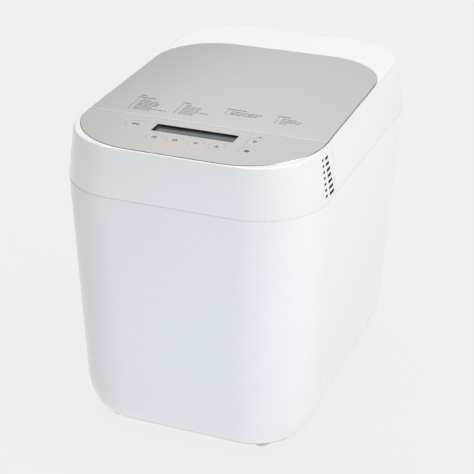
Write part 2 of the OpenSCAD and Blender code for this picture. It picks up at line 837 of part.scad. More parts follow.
module lid_inner_cover() color("gray") {
    w = chamber_w + 4;
    d = chamber_d + 4;
    difference() {
        union() {
            translate([0, y_mid, lid_low]) linear_extrude(2) intersection() {
                outline(inset(seam_plan, 9));
                translate([-far/2, lid_front + wall + 0.6 - y_mid]) square(far);
            }
            at_axis(lid_low) linear_extrude(36) pad(w + 4, d + 4, chamber_r + 4);
        }
        at_axis(lid_low - 1) linear_extrude(35) pad(w, d, chamber_r + 2);
        for (s = lid_spots) translate([s[0], s[1], lid_low - 1]) cylinder(r = screw_hole, h = 6);
        for (x = [-hinge_x, hinge_x]) translate([x - leaf_half - 4, hinge_y - 13, lid_low - 1])
            cube([2*leaf_half + 8, 10, 6]);
    }
}

reflector_z = lid_low + 31;
reflector_fix = [-80, 80];                  // x of the reflector's two screws

module reflector_plate() color("silver") {
    at_axis(reflector_z) difference() {
        union() {
            linear_extrude(1) pad(chamber_w - 8, chamber_d - 8, chamber_r - 4);
            for (x = reflector_fix) translate([x, 0, 1]) cylinder(r = 6, h = 2);
        }
        for (x = reflector_fix) translate([x, 0, -1]) cylinder(r = screw_hole, h = 6);
    }
}

module lid_gasket() color("dimgray") {
    w = chamber_w + 14;
    d = chamber_d + 14;
    at_axis(lid_low - 1.2) linear_extrude(1.2) ring_frame(w, d, chamber_r + 6, 4);
    at_axis(lid_low - 2.2) linear_extrude(1.1) ring_frame(w - 3.6, d - 3.6, chamber_r + 4, 1);
}

module lid_screws() color("silver") {
    for (s = lid_spots) translate([s[0], s[1], lid_low]) mirror([0, 0, 1]) screw(len = 11);
    for (x = reflector_fix) at_axis(reflector_z) translate([x, 0, 0]) mirror([0, 0, 1]) screw(len = 3);
}

// ---------------------------------------------------------------- buttons

module round_button(i) color("gainsboro") {
    on_deck() translate([button_spots[i][0], button_spots[i][1], 0]) {
        translate([0, 0, cap_low]) cylinder(r = button_r, h = panel_top - cap_low);
        translate([0, 0, cap_low]) cylinder(r = flange_r, h = 1);
        translate([0, 0, stem_low]) cylinder(r = 2, h = cap_low + 0.1 - stem_low);
    }
}

module select_button() color("gainsboro") {
    on_deck() translate([select_x, side_y, 0]) {
        translate([0, 0, cap_low]) linear_extrude(panel_top - cap_low) stadium(button_r);
        translate([0, 0, cap_low]) linear_extrude(1) stadium(flange_r);
        translate([0, 0, stem_low]) cylinder(r = 2, h = cap_low + 0.1 - stem_low);
    }
}

module menu_button() { round_button(1); }
module size_button() { round_button(2); }
module down_button() { round_button(3); }
module up_button() { round_button(4); }
module start_button() { round_button(5); }
module stop_button() { round_button(6); }

// ---------------------------------------------------------------- pan, handle and blade

// Drafted block of the pan, pulled in by d
module pan_form(d, low) {
    draft = 7;
    hull() {
        at_axis(low) linear_extrude(0.01) pad(pan_w - 2*draft - 2*d, pan_d - 2*draft - 2*d, 24 - d);
        at_axis(pan_rim_h - 0.01 + (d > 0 ? 1 : 0)) linear_extrude(0.01)
            pad(pan_w - 2*d, pan_d - 2*d, 28 - d);
    }
}

module bread_pan() color("dimgray") {
    difference() {
        union() {
            pan_form(0, pan_floor);
            at_axis(pan_rim_h - 2) linear_extrude(2.5) pad(pan_w + 8, pan_d + 8, 32);
        }
        pan_form(pan_t, pan_floor + 2);
        at_axis(pan_rim_h - 5) linear_extrude(12) pad(pan_w - 2*pan_t - 0.3, pan_d - 2*pan_t - 0.3, 26);
        at_axis(pan_floor - 1) cylinder(r = bush_r + 0.1, h = 6);
    }
}

module pan_base() color("lightgray") {
    h = pan_floor - pan_base_low;
    at_axis(pan_base_low) difference() {
        cylinder(r = pan_base_r, h = h);
        translate([0, 0, -1]) cylinder(r = pan_base_r - 4, h = h - 2);
        cylinder(r = bush_r + 0.1, h = h + 1);
        for (i = [0:3]) rotate([0, 0, i*90 + 45]) translate([pan_base_r - 8, -8, -1]) cube([12, 16, 9]);
    }
}

module pan_bush() color("darkgoldenrod") {
    at_axis(pan_floor - 5) difference() {
        union() {
            cylinder(r = bush_r, h = 12);
            translate([0, 0, 7.05]) cylinder(r = bush_r + 3, h = 1.5);
        }
        translate([0, 0, -1]) cylinder(r = shaft_r + run_clear, h = 20);
    }
}

module handle_lugs() color("silver") {
    for (side = [-1, 1]) at_axis(pivot_z) rotate([0, side*90, 0]) {
        translate([0, 0, pan_w/2 + 0.3]) linear_extrude(1.6) difference() {
            pad(12, 26, 4);
            for (y = [-9, 9]) translate([0, y]) circle(1.5);
        }
        translate([0, 0, pan_w/2 + 0.3]) cylinder(r = 3, h = 12);
        translate([0, 0, arm_x + 3.3]) cylinder(r = 4.6, h = 1.5);
        for (y = [-9, 9]) translate([0, y, pan_w/2 - 0.2]) cylinder(r = 1.4, h = 3);
    }
}

// Drawn with its pivot at the origin and its arms along -Y, then raised by its folded angle
module handle_frame() {
    at_axis(pivot_z) rotate([-handle_rise, 0, 0]) children();
}

module bail_handle() color("silver") {
    handle_frame() {
        for (side = [-1, 1]) translate([side > 0 ? arm_x : -arm_x - 3, 0, 0]) difference() {
            union() {
                rotate([0, 90, 0]) cylinder(r = 6, h = 3);
                translate([0, -handle_len, -3.2]) cube([3, handle_len, 6.4]);
                translate([0, -handle_len, 0]) rotate([0, 90, 0]) cylinder(r = 3.2, h = 3);
            }
            translate([-1, 0, 0]) rotate([0, 90, 0]) cylinder(r = 3 + run_clear, h = 5);
        }
        translate([-arm_x - 1, -handle_len, 0]) rotate([0, 90, 0]) cylinder(r = 3.2, h = 2*arm_x + 2);
    }
}

module handle_grip() color("black") {
    handle_frame() translate([-55, -handle_len, 0]) rotate([0, 90, 0]) difference() {
        union() {
            cylinder(r = 6.2, h = 110);
            for (i = [0:8]) translate([0, 0, 15 + i*10]) rotate_extrude()
                translate([6, 0]) circle(0.5, $fn = 16);
        }
        translate([0, 0, -1]) cylinder(r = 3.2, h = 112);
    }
}

module pan_shaft() color("silver") {
    at_axis() {
        // The wing at its foot stands between the coupler's two dogs
        translate([0, 0, wing_low]) cylinder(r = shaft_r, h = 44);
        translate([0, 0, wing_low]) cylinder(r = 6.5, h = 6);
        translate([-13, -3.2, wing_low]) cube([26, 6.4, 6]);
    }
}

module kneading_blade() color("dimgray") {
    low = 113;
    at_axis(low) difference() {
        union() {
            cylinder(r = 9, h = 22);
            linear_extrude(26) polygon([[0, -8.4], [20, -7], [46, 3], [51, 9], [44, 9], [18, 2], [0, 5]]);
            translate([0, 0, 22]) rotate_extrude() polygon([[3, 0], [9, 0], [7.5, 2.5], [5, 4], [3, 4]]);
        }
        translate([0, 0, -1]) cylinder(r = shaft_r + run_clear, h = 40);
        translate([26, -20, 16]) rotate([0, 24, 0]) cube([40, 50, 30]);
    }
}

lower_body();
base_plate();
rubber_feet();
case_screws();
control_housing();
control_panel();
lcd_lens();
lcd_module();
control_board();
tact_switches();
status_led();
vent_baffle();
top_deck();
oven_chamber();
heat_shield();
chamber_screws();
heating_element();
element_clips();
temperature_sensor();
thermal_fuse();
pan_clips();
chassis();
drive_bearing();
drive_motor();
drive_belt();
power_board();
board_components();
mains_inlet();
inlet_pins();
ribbon_cable();
hinge_brackets();
hinge_pins();
lid_cover();
lid_panel();
lid_inner_cover();
reflector_plate();
lid_gasket();
hinge_leaves();
lid_screws();
select_button();
menu_button();
size_button();
down_button();
up_button();
start_button();
stop_button();
drive_shaft();
drive_pulley();
drive_coupler();
motor_pulley();
cooling_fan();
bread_pan();
pan_base();
pan_bush();
handle_lugs();
bail_handle();
handle_grip();
pan_shaft();
kneading_blade();
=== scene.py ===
"""Looks of the bread machine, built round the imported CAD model. Sizes here are in millimetres, made
into metres when a mesh is written; places come from the frame's boxes and joint axes."""
import json
import math
import random

import bmesh
import bpy
import numpy as np
from mathutils import Matrix, Vector


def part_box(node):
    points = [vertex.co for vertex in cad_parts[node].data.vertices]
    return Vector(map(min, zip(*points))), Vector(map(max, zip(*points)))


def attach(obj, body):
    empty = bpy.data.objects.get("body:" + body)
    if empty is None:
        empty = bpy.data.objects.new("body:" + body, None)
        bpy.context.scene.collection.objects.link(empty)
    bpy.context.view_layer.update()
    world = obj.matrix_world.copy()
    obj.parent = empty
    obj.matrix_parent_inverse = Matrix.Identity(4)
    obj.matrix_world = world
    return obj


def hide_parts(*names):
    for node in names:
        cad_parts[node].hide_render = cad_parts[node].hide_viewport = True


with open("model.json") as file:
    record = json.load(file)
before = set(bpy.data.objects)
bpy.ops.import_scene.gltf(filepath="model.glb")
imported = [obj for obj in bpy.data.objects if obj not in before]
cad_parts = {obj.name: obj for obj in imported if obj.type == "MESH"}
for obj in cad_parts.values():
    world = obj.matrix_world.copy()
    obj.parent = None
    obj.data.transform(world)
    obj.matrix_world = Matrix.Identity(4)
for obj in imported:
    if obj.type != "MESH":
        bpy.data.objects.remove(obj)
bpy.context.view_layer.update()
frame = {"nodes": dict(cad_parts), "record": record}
MM = 0.001


# ---------------------------------------------------------------- driving sizes, from the frame

def box_mm(node):
    """Lowest and highest corner of a CAD node's box."""
    low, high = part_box(node)
    return np.array(low)/MM, np.array(high)/MM


JOINTS = {j["name"]: j for j in frame["record"]["behaviour"]["joints"]}
BODY_OF = {node: body for body, nodes in frame["record"]["behaviour"]["bodies"].items() for node in nodes}
LOW, HIGH = box_mm("lower_body")
HALF_W = HIGH[0]
FRONT, REAR = LOW[1], HIGH[1]
Y_MID = (FRONT + REAR)/2
HALF_D = (REAR - FRONT)/2
SEAM_Z, FOOT_Z = HIGH[2], LOW[2]
UPPER_Z = box_mm("lid_cover")[0][2]
HOUSING_REAR = box_mm("control_housing")[1][1]
LID_FRONT = box_mm("lid_cover")[0][1]

# The deck's slope, from the way the buttons go in, and its height at the housing's middle
PRESS = JOINTS["select_button_press"]["axis"]
TILT = math.atan2(PRESS[1], -PRESS[2])
CREASE_REAR = 3.7
TOP_Z = box_mm("lid_cover")[1][2] - (HALF_D - CREASE_REAR)*math.sin(TILT)

# White shells: thickness, and the roundings at the crease, at the foot (across and up) and at the seam
WALL = 2.6
CREASE_R = 3.0
FILLET_W, FILLET_H = 19.4, 42.0
EDGE_R = 0.3

# Silver panels: height over the deck, thickness, underside of the skin that carries them, and gaps
PANEL_TOP, PANEL_T = 0.5, 1.6
SKIN_LOW = PANEL_TOP - PANEL_T - 2.4
POCKET_GAP = 0.3
SPLIT_Y = -112.7
PANEL_GAP = 0.6

# Hinges: places across the rear, and half the width of their notches in the shells
HINGES_X = (-70, 70)
HINGE_NOTCH = 21.5

# Vent slots: rows, pitch, and height of the lowest
VENT_ROWS, VENT_PITCH, VENT_LOW_Z = 7, 6.35, 290.6

# Beyond the machine on every side
FAR = 400

# Plans: half width, front y, rear y, front corner radius, rear corner radius; y from Y_MID
BASE = (HALF_W - 8.3, -HALF_D + 13.5, HALF_D - 15.4, 70, 79)
SEAM = (HALF_W, -HALF_D, HALF_D, 73, 52)
CREASE = (HALF_W - 7.3, -HALF_D + 3.4, HALF_D - CREASE_REAR, 67, 67)
PANEL = (HALF_W - 8.7, -HALF_D + 5.7, HALF_D - 74.2, 82, 73)

# Controls, in deck coordinates, which are x and y from the housing's middle, as SPLIT_Y is
BUTTON_R = 8.8
SELECT_STRETCH = 2.2
LCD = dict(x=-1.3, y=-136.7, w=89.6, d=18.3)
LED = (64.8, -124.2)


def inset(plan, d):
    """A plan pulled in by d all round."""
    return (plan[0] - d, plan[1] + d, plan[2] - d, max(plan[3] - d, 1), max(plan[4] - d, 1))


def mix(p, q, u):
    return tuple(a + (b - a)*u for a, b in zip(p, q))


def quarter(steps):
    """Angles of a quarter round, in radians."""
    return np.radians(np.linspace(0, 90, steps))


def outline(plan, n=24):
    """Points of a rounded outline, anticlockwise from the front right corner's start."""
    w, y0, y1, rf, rr = plan
    corners = ((w - rf, y0 + rf, rf, -90), (w - rr, y1 - rr, rr, 0),
               (rr - w, y1 - rr, rr, 90), (rf - w, y0 + rf, rf, 180))
    points = []
    for cx, cy, r, start in corners:
        for a in np.radians(start + np.linspace(0, 90, n + 1)):
            points.append((cx + r*math.cos(a), cy + r*math.sin(a)))
    return np.array(points)


def pad(w, d, r, x, y, n):
    """A rounded rectangle of width w and depth d round (x, y)."""
    return outline((w/2, -d/2, d/2, r, r), n) + (x, y)


def round_loop(centre, r, stretch=0.0, n=48):
    """A circle, or with a stretch its two halves moved apart along x and joined by straight sides."""
    a = np.linspace(0, 2*math.pi, n, endpoint=False)
    x, y = r*np.cos(a), r*np.sin(a)
    return np.column_stack([centre[0] + x + np.sign(np.round(x, 9))*stretch, centre[1] + y])


def level_ring(plan, z):
    """Points of a plan at a height, in the frame's millimetres."""
    p = outline(plan)
    return np.column_stack([p[:, 0], p[:, 1] + Y_MID, np.full(len(p), z)])


def on_deck(points, dz=0.0):
    """Deck coordinates (x, y) or (x, y, height) to the frame, in millimetres."""
    p = np.atleast_2d(np.asarray(points, float))
    h = p[:, 2] + dz if p.shape[1] == 3 else np.full(len(p), dz)
    c, s = math.cos(TILT), math.sin(TILT)
    return np.column_stack([p[:, 0], p[:, 1]*c - h*s + Y_MID, p[:, 1]*s + h*c + TOP_Z])


# ---------------------------------------------------------------- mesh helpers

def make_object(name, verts, faces, angle=32):
    mesh = bpy.data.meshes.new(name)
    mesh.from_pydata([tuple(v) for v in np.asarray(verts)*MM], [], [tuple(f) for f in faces])
    obj = bpy.data.objects.new(name, mesh)
    bpy.context.scene.collection.objects.link(obj)
    tidy_mesh(obj, angle)
    return obj


def tidy_mesh(obj, angle=32):
    """Welds the seams, turns the faces outwards and shades smooth up to an angle."""
    bm = bmesh.new()
    bm.from_mesh(obj.data)
    bmesh.ops.remove_doubles(bm, verts=bm.verts, dist=1e-7)
    bmesh.ops.recalc_face_normals(bm, faces=bm.faces)
    bm.to_mesh(obj.data)
    bm.free()
    obj.data.shade_smooth()
    obj.data.set_sharp_from_angle(angle=math.radians(angle))


def loft(name, rings, loop=False, angle=32):
    """Closed surface through rings with the same number of points; capped unless the rings close a loop."""
    n = len(rings[0])
    verts = np.vstack(rings)
    faces = []
    last = len(rings) if loop else len(rings) - 1
    for i in range(last):
        a, b = i*n, (i + 1) % len(rings)*n
        faces += [(a + j, a + (j + 1) % n, b + (j + 1) % n, b + j) for j in range(n)]
    if not loop:
        faces.append(tuple(reversed(range(n))))
        faces.append(tuple(range((len(rings) - 1)*n, len(rings)*n)))
    return make_object(name, verts, faces, angle)


def apply_modifiers(obj):
    dg = bpy.context.evaluated_depsgraph_get()
    mesh = bpy.data.meshes.new_from_object(obj.evaluated_get(dg))
    obj.modifiers.clear()
    obj.data = mesh


def boolean(obj, tools, operation="DIFFERENCE"):
    """Cuts the tools out of a piece, or keeps only what it shares with them; the tools are used up."""
    for tool in tools:
        m = obj.modifiers.new("cut", "BOOLEAN")
        m.operation = operation
        m.solver = "EXACT"
        m.object = tool
    apply_modifiers(obj)
    for tool in tools:
        bpy.data.objects.remove(tool)
    tidy_mesh(obj)
    return obj


def block(low, high):
    x0, y0, z0 = low
    x1, y1, z1 = high
    v = [(x, y, z) for z in (z0, z1) for x, y in ((x0, y0), (x1, y0), (x1, y1), (x0, y1))]
    f = [(3, 2, 1, 0), (4, 5, 6, 7), (0, 1, 5, 4), (1, 2, 6, 5), (2, 3, 7, 6), (3, 0, 4, 7)]
    return make_object("block", v, f)


def prism(loop, low, high):
    """Cutting tool: an outline between two heights on the deck."""
    return loft("prism", [on_deck(loop, low), on_deck(loop, high)])


def plate(name, loops, low, high, bevel, place=on_deck):
    """Flat plate with rounded edges; the first loop is its outline and the others are holes."""
    curve = bpy.data.curves.new(name, "CURVE")
    curve.dimensions = "2D"
    curve.fill_mode = "BOTH"
    for loop in loops:
        spline = curve.splines.new("POLY")
        spline.points.add(len(loop) - 1)
        for point, (x, y) in zip(spline.points, loop):
            point.co = (x, y, 0, 1)
        spline.use_cyclic_u = True
    curve.extrude = (high - low)/2 - bevel
    curve.bevel_depth = bevel
    curve.bevel_resolution = 2
    curve.offset = -bevel
    obj = bpy.data.objects.new(name + "_curve", curve)
    bpy.context.scene.collection.objects.link(obj)
    dg = bpy.context.evaluated_depsgraph_get()
    mesh = bpy.data.meshes.new_from_object(obj.evaluated_get(dg))
    verts = np.array([v.co[:] for v in mesh.vertices])
    faces = [tuple(p.vertices) for p in mesh.polygons]
    bpy.data.objects.remove(obj)
    verts[:, 2] += (low + high)/2
    return make_object(name, place(verts), faces, angle=40)


def lathe(name, profile, centre, stretch):
    """Turned piece on the deck: profile is (radius, height) pairs; stretch is that of round_loop."""
    return loft(name, [on_deck(round_loop(centre, r, stretch, 64), h) for r, h in profile], angle=35)


def join(name, objects):
    """One object from several, keeping each one's material."""
    bm = bmesh.new()
    mesh = bpy.data.meshes.new(name)
    for obj in objects:
        slot = len(mesh.materials)
        for m in obj.data.materials:
            mesh.materials.append(m)
        first = len(bm.faces)
        bm.from_mesh(obj.data)
        bm.faces.ensure_lookup_table()
        for f in bm.faces[first:]:
            f.material_index += slot
        bpy.data.objects.remove(obj)
    bm.to_mesh(mesh)
    bm.free()
    joined = bpy.data.objects.new(name, mesh)
    bpy.context.scene.collection.objects.link(joined)
    return joined


# ---------------------------------------------------------------- materials

# Most values of a noise texture lie between these two
NOISE_LOW, NOISE_HIGH = 0.3, 0.7
# Depth in metres of a bump at full strength
RELIEF = 0.0001


def new_material(name, base, rough, metallic=0.0, coat=0.0, coat_rough=0.1):
    """A material whose even values sit on the shader's own sockets."""
    m = bpy.data.materials.new(name)
    m.use_nodes = True
    shader = m.node_tree.nodes["Principled BSDF"]
    shader.inputs["Base Color"].default_value = (*base, 1)
    shader.inputs["Roughness"].default_value = rough
    shader.inputs["Metallic"].default_value = metallic
    shader.inputs["Coat Weight"].default_value = coat
    shader.inputs["Coat Roughness"].default_value = coat_rough
    return m


def noise(m, scale, detail=3.0, stretch=(1, 1, 1)):
    """A noise texture in the object's own metres; returns its factor output."""
    nodes, links = m.node_tree.nodes, m.node_tree.links
    coord = nodes.new("ShaderNodeTexCoord")
    mapping = nodes.new("ShaderNodeMapping")
    mapping.inputs["Scale"].default_value = stretch
    links.new(coord.outputs["Object"], mapping.inputs["Vector"])
    tex = nodes.new("ShaderNodeTexNoise")
    tex.inputs["Detail"].default_value = detail
    tex.inputs["Scale"].default_value = scale
    links.new(mapping.outputs["Vector"], tex.inputs["Vector"])
    return tex.outputs["Fac"]


def map_range(m, source, start, end, low, high):
    """Carries the values start to end of a source over to low to high, and holds them beyond."""
    node = m.node_tree.nodes.new("ShaderNodeMapRange")
    for socket, value in (("From Min", start), ("From Max", end), ("To Min", low), ("To Max", high)):
        node.inputs[socket].default_value = value
    m.node_tree.links.new(source, node.inputs["Value"])
    return node


def vary(m, socket, source, low, high):
    """Drives a shader input between two values, or two colours, by a texture."""
    nodes, links = m.node_tree.nodes, m.node_tree.links
    shader = nodes["Principled BSDF"]
    if isinstance(low, tuple):
        ramp = nodes.new("ShaderNodeValToRGB")
        ramp.color_ramp.elements[0].position = NOISE_LOW
        ramp.color_ramp.elements[0].color = (*low, 1)
        ramp.color_ramp.elements[1].position = NOISE_HIGH
        ramp.color_ramp.elements[1].color = (*high, 1)
        links.new(source, ramp.inputs["Fac"])
        links.new(ramp.outputs["Color"], shader.inputs[socket])
    else:
        span = map_range(m, source, NOISE_LOW, NOISE_HIGH, low, high)
        links.new(span.outputs["Result"], shader.inputs[socket])


def bump(m, source, strength):
    """Adds relief that follows a texture."""
    nodes, links = m.node_tree.nodes, m.node_tree.links
    relief = nodes.new("ShaderNodeBump")
    relief.inputs["Strength"].default_value = strength
    relief.inputs["Distance"].default_value = RELIEF
    links.new(source, relief.inputs["Height"])
    links.new(relief.outputs["Normal"], nodes["Principled BSDF"].inputs["Normal"])


def white_plastic():
    m = new_material("white_plastic", (0.86, 0.87, 0.885), 0.24, coat=0.5, coat_rough=0.06)
    vary(m, "Base Color", noise(m, 320), (0.85, 0.856, 0.873), (0.88, 0.882, 0.891))
    bump(m, noise(m, 1400), 0.04)
    return m


def satin_white():
    m = new_material("satin_white", (0.8, 0.81, 0.82), 0.45)
    vary(m, "Base Color", noise(m, 8), (0.79, 0.8, 0.81), (0.82, 0.825, 0.83))
    bump(m, noise(m, 1600), 0.2)
    return m


def silver_paint_with_painted_shade(name, stops, back, front):
    """Fine-grained metallic paint with painted shade. The stops are (x in metres, colour), from left to
    right, and their brightnesses paint darker edges; back and front are (y in metres, brightness), a painted
    shade from front to back."""
    m = new_material(name, stops[1][1], 0.42, metallic=0.3, coat=0.1, coat_rough=0.3)
    nodes, links = m.node_tree.nodes, m.node_tree.links
    coord = nodes.new("ShaderNodeTexCoord")
    parts = nodes.new("ShaderNodeSeparateXYZ")
    links.new(coord.outputs["Object"], parts.inputs["Vector"])
    left, right = stops[0][0], stops[-1][0]
    across = map_range(m, parts.outputs["X"], left, right, 0, 1)
    ramp = nodes.new("ShaderNodeValToRGB")
    while len(ramp.color_ramp.elements) < len(stops):
        ramp.color_ramp.elements.new(0.5)
    for i, (x, colour) in enumerate(stops):
        ramp.color_ramp.elements[i].position = (x - left)/(right - left)
        ramp.color_ramp.elements[i].color = (*colour, 1)
    links.new(across.outputs["Result"], ramp.inputs["Fac"])
    # Painted shade: the brightness changes from the front of the panel to its back
    shade = map_range(m, parts.outputs["Y"], front[0], back[0], front[1], back[1])
    flakes = noise(m, 5200, 2)
    grain = map_range(m, flakes, NOISE_LOW, NOISE_HIGH, 0.97, 1.03)
    both = nodes.new("ShaderNodeMath")
    both.operation = "MULTIPLY"
    links.new(shade.outputs["Result"], both.inputs[0])
    links.new(grain.outputs["Result"], both.inputs[1])
    tint = nodes.new("ShaderNodeVectorMath")
    tint.operation = "SCALE"
    links.new(ramp.outputs["Color"], tint.inputs[0])
    links.new(both.outputs["Value"], tint.inputs["Scale"])
    links.new(tint.outputs["Vector"], nodes["Principled BSDF"].inputs["Base Color"])
    vary(m, "Roughness", noise(m, 3000, 2), 0.38, 0.46)
    bump(m, flakes, 0.08)
    return m


def painted_shade_stops(tone, *stops):
    """Colours for the silver paint: one tone at several places, at brightnesses that are painted shade."""
    return [(x, tuple(c*k for c in tone)) for x, k in stops]


def ink(name, colour):
    m = new_material(name, colour, 0.5)
    vary(m, "Base Color", noise(m, 2500), colour, tuple(c*1.25 for c in colour))
    return m


def dark_glass():
    m = new_material("display_glass", (0.055, 0.08, 0.09), 0.12, coat=0.3, coat_rough=0.03)
    vary(m, "Base Color", noise(m, 30), (0.045, 0.066, 0.075), (0.065, 0.092, 0.103))
    return m


def black_plastic():
    m = new_material("black_plastic", (0.012, 0.012, 0.013), 0.5)
    vary(m, "Roughness", noise(m, 800), 0.42, 0.6)
    bump(m, noise(m, 2400), 0.25)
    return m


def rubber():
    m = new_material("rubber", (0.62, 0.63, 0.65), 0.75)
    vary(m, "Base Color", noise(m, 400), (0.58, 0.59, 0.61), (0.66, 0.67, 0.69))
    bump(m, noise(m, 1800), 0.4)
    return m


def steel(name="bright_steel", tone=0.62, rough=0.28, grain=(1, 1, 40)):
    m = new_material(name, (tone, tone, tone*1.01), rough, metallic=1.0)
    streak = noise(m, 60, 5, grain)
    vary(m, "Roughness", streak, rough - 0.08, rough + 0.12)
    vary(m, "Base Color", streak, (tone*0.9,)*3, (tone*1.08,)*3)
    bump(m, streak, 0.1)
    return m


def nonstick():
    m = new_material("nonstick", (0.06, 0.06, 0.063), 0.42, coat=0.15, coat_rough=0.3)
    vary(m, "Base Color", noise(m, 1500, 6), (0.035, 0.035, 0.038), (0.1, 0.1, 0.105))
    bump(m, noise(m, 900, 4), 0.25)
    return m


def grey_plastic():
    m = new_material("grey_plastic", (0.22, 0.22, 0.225), 0.5)
    vary(m, "Base Color", noise(m, 60), (0.21, 0.21, 0.215), (0.24, 0.24, 0.245))
    bump(m, noise(m, 2000), 0.3)
    return m


def plain(name, base, rough, metallic=0.0, scale=500, shine=0.5):
    """Moulded or painted piece with a little mottling and grain."""
    m = new_material(name, base, rough, metallic)
    m.node_tree.nodes["Principled BSDF"].inputs["Specular IOR Level"].default_value = shine
    vary(m, "Base Color", noise(m, scale), tuple(c*0.88 for c in base), tuple(min(c*1.1, 1) for c in base))
    vary(m, "Roughness", noise(m, scale/3), max(rough - 0.08, 0.05), rough + 0.08)
    bump(m, noise(m, scale*3), 0.2)
    return m


WHITE = white_plastic()
SATIN = satin_white()
# The lid's brightness, lowest at the left edge and a little lower at the right edge, is painted shade
LID_PAINTED_SHADE = painted_shade_stops((0.564, 0.55, 0.548), (-0.13, 0.82), (-0.05, 0.98), (0, 1.02), (0.06, 1.03), (0.13, 1.0))
SILVER = silver_paint_with_painted_shade("silver_lid", LID_PAINTED_SHADE, (0.14, 0.92), (-0.11, 1.05))
# The deck turns from a warm tone at its left to a neutral one at its right; its brightness, lowest at the
# left edge, is painted shade
DECK_HUES_AND_PAINTED_SHADE = (painted_shade_stops((0.59, 0.563, 0.538), (-0.13, 0.85), (-0.07, 0.96))
              + painted_shade_stops((0.59, 0.568, 0.553), (0, 1.035))
              + painted_shade_stops((0.587, 0.567, 0.565), (0.05, 1.01), (0.13, 0.985)))
CHAMPAGNE = silver_paint_with_painted_shade("silver_deck", DECK_HUES_AND_PAINTED_SHADE, (-0.11, 1.0), (-0.2, 0.98))
PRINT = ink("print_grey", (0.07, 0.07, 0.07))
POLISHED = steel("polished_edge", 0.7, 0.2)
# Pale strip on the lid panel's front edge: a painted highlight
LIP_PAINTED_HIGHLIGHT = plain("lip_painted_highlight", (0.8, 0.79, 0.78), 0.4)
BLACK = black_plastic()
# Near-black and nearly without reflection: the vent grille's black plus painted shade in the slots
GRILLE_BLACK_AND_PAINTED_SHADE = plain("grille_black_and_painted_shade", (0.009, 0.009, 0.009), 0.9, shine=0.05)
GLASS = dark_glass()
# Grey for the lowest band of the body: painted shade under its rounded foot
UNDERSIDE_PAINTED_SHADE = plain("underside_painted_shade", (0.58, 0.595, 0.62), 0.8, shine=0.05)
RUBBER = rubber()
STEEL = steel()
CHAMBER = steel("chamber_metal", 0.6, 0.36, (30, 30, 1))
NONSTICK = nonstick()
GREY = grey_plastic()


def stand_in(obj, node, material):
    """The piece takes the place of a CAD node, on its body."""
    obj.data.materials.clear()
    obj.data.materials.append(material)
    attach(obj, BODY_OF[node])
    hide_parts(node)
    return obj


def extra(obj, body, material=None):
    """The piece adds to a body and replaces nothing."""
    if material:
        obj.data.materials.clear()
        obj.data.materials.append(material)
    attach(obj, body)
    return obj


# ---------------------------------------------------------------- shells

def lower_rings(d):
    """Rings up the outside of the lower body, or up a surface d inside it."""
    rings = []
    for a in quarter(13):
        z = FOOT_Z + d + FILLET_H*(1 - math.cos(a))
        plan = mix(BASE, SEAM, (z - FOOT_Z)/(SEAM_Z - FOOT_Z))
        rings.append(level_ring(inset(plan, d + FILLET_W*(1 - math.sin(a))), z))
    return rings


def hinge_notches(below, above):
    """Cutting blocks that make room for the two hinges, from below the seam to above it."""
    return [block((x - HINGE_NOTCH, REAR - 8, SEAM_Z - below), (x + HINGE_NOTCH, REAR + 8, SEAM_Z + above))
            for x in HINGES_X]


def lower_body():
    """Body that widens upwards, open at the top and, inside a rim that the base plate closes, below."""
    top = [level_ring(inset(SEAM, EDGE_R*(1 - math.cos(a))), SEAM_Z - EDGE_R*(1 - math.sin(a)))
           for a in quarter(4)]
    # A low tongue inside the seam, which closes the gap to the eye
    tongue = [level_ring(inset(SEAM, d), SEAM_Z + h) for d, h in ((0.5, 0), (0.5, 0.6), (2.0, 0.6), (2.0, 0))]
    inner = tongue + [level_ring(inset(SEAM, WALL), SEAM_Z)] + list(reversed(lower_rings(WALL)))
    rim = 24
    floor_hole = inset(BASE, FILLET_W + rim)
    rings = [level_ring(floor_hole, FOOT_Z)] + lower_rings(0) + top + inner
    rings.append(level_ring(floor_hole, FOOT_Z + WALL))
    body = loft("lower_body_shell", rings, loop=True)
    # The opening for the mains inlet, through the rear wall
    x, z = np.mean(box_mm("mains_inlet"), axis=0)[[0, 2]]
    half_w, half_h = 14.2, 10.8
    inlet = block((x - half_w, 165, z - half_h), (x + half_w, 200, z + half_h))
    body = boolean(body, hinge_notches(5.6, 5) + [inlet])
    stand_in(body, "lower_body", WHITE)
    body.data.materials.append(UNDERSIDE_PAINTED_SHADE)
    # Faces within 5 mm of the foot get the grey, painted shade under the body
    underside = FOOT_Z + 5
    for face in body.data.polygons:
        if face.center.z < underside*MM:
            face.material_index = 1


def upper_form(d):
    """Closed form of the upper shell, pulled in by d."""
    if d == 0:
        rings = [level_ring(inset(SEAM, EDGE_R*(1 - math.sin(a))), UPPER_Z + EDGE_R*(1 - math.cos(a)))
                 for a in quarter(4)]
    else:
        rings = [level_ring(inset(SEAM, d), UPPER_Z - 1)]
    for a in quarter(9):
        plan = inset(CREASE, d + CREASE_R*(1 - math.cos(a)))
        rings.append(on_deck(outline(plan), -d - CREASE_R*(1 - math.sin(a))))
    form = loft("upper_form", rings)
    # The sides twist a little from seam to crease; as triangles they stay closed through the cuts
    bm = bmesh.new()
    bm.from_mesh(form.data)
    bmesh.ops.triangulate(bm, faces=[f for f in bm.faces if len(f.verts) == 4])
    bm.to_mesh(form.data)
    bm.free()
    return form


def pocket():
    """The shallow recess that the two panels lie in."""
    return prism(outline(inset(PANEL, -POCKET_GAP)), PANEL_TOP - PANEL_T, 20)


def half_block(y0, y1):
    """Everything of the upper shell between two y."""
    return block((-300, y0, 200), (300, y1, 420))


def cavity(y0, y1):
    """Inside of the upper shell between two y, cut lower under the pocket, whose skin hangs lower."""
    inner = boolean(upper_form(WALL), [half_block(y0, y1)], "INTERSECT")
    return boolean(inner, [prism(outline(inset(PANEL, 1)), SKIN_LOW, 5)])


